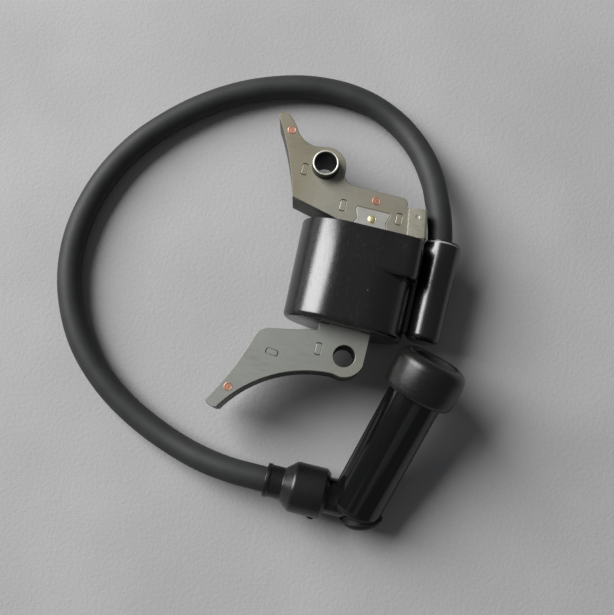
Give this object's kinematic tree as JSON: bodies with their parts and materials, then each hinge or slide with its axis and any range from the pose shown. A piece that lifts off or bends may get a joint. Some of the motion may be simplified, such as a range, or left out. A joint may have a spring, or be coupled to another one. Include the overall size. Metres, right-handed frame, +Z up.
{
  "type": "ignition coil",
  "caption": "Small-engine ignition coil: laminated core with two pole arms, potted coil case, and a high-tension lead ending in an elbow spark plug cap that swivels on it.",
  "frame": {"origin": "on the surface the coil lies on, under the middle of the coil without its lead and cap", "axes": "+Z up from the surface; +Y along the coil's limb towards the arm that holds the sleeve; -X towards the flywheel"},
  "size_m": [0.13, 0.1367, 0.0329],
  "materials": {
    "core_steel": "satin",
    "core_steel_tinted": "satin",
    "brass": "satin",
    "coppered_rivet": "satin",
    "plated_steel": "bright",
    "case_plastic": "gloss",
    "potting_resin": "satin",
    "bobbin_plastic": "matte",
    "enamelled_copper": "gloss",
    "circuit_board": "satin",
    "component_black": "satin",
    "seal_rubber": "satin",
    "lead_rubber": "matte",
    "stranded_copper": "satin",
    "boot_rubber": "satin",
    "cap_plastic": "gloss",
    "spring_steel": "satin",
    "resistor_ceramic": "matte"
  },
  "bodies": {
    "coil": {"core_leg": "core_steel", "core_arm": "core_steel_tinted", "limb_rivet": "brass", "core_rivets": "coppered_rivet", "mounting_sleeve": "plated_steel", "ground_clip": "plated_steel", "coil_case": "case_plastic", "potting": "potting_resin", "primary_bobbin": "bobbin_plastic", "primary_winding": "enamelled_copper", "secondary_bobbin": "bobbin_plastic", "secondary_winding": "enamelled_copper", "igniter_board": "circuit_board", "power_transistor": "component_black", "igniter_parts": "component_black", "ground_wire": "plated_steel", "ht_link": "brass", "ht_contact": "brass", "lead_grommet": "seal_rubber", "lead_insulation": "lead_rubber", "lead_conductor": "stranded_copper"},
    "plug_cap": {"cable_boot": "boot_rubber", "cap_shell": "cap_plastic", "lead_screw": "brass", "contact_spring": "spring_steel", "cap_resistor": "resistor_ceramic", "plug_terminal": "brass", "terminal_clip": "spring_steel", "seal_collar": "seal_rubber"}
  },
  "joints": [
    {"name": "cap_swivel", "type": "hinge", "parent": "coil", "child": "plug_cap", "pos_m": [0.0186, -0.0622, 0.0087], "axis": [1, 0, 0], "range_deg": [-7, 155]}
  ]
}
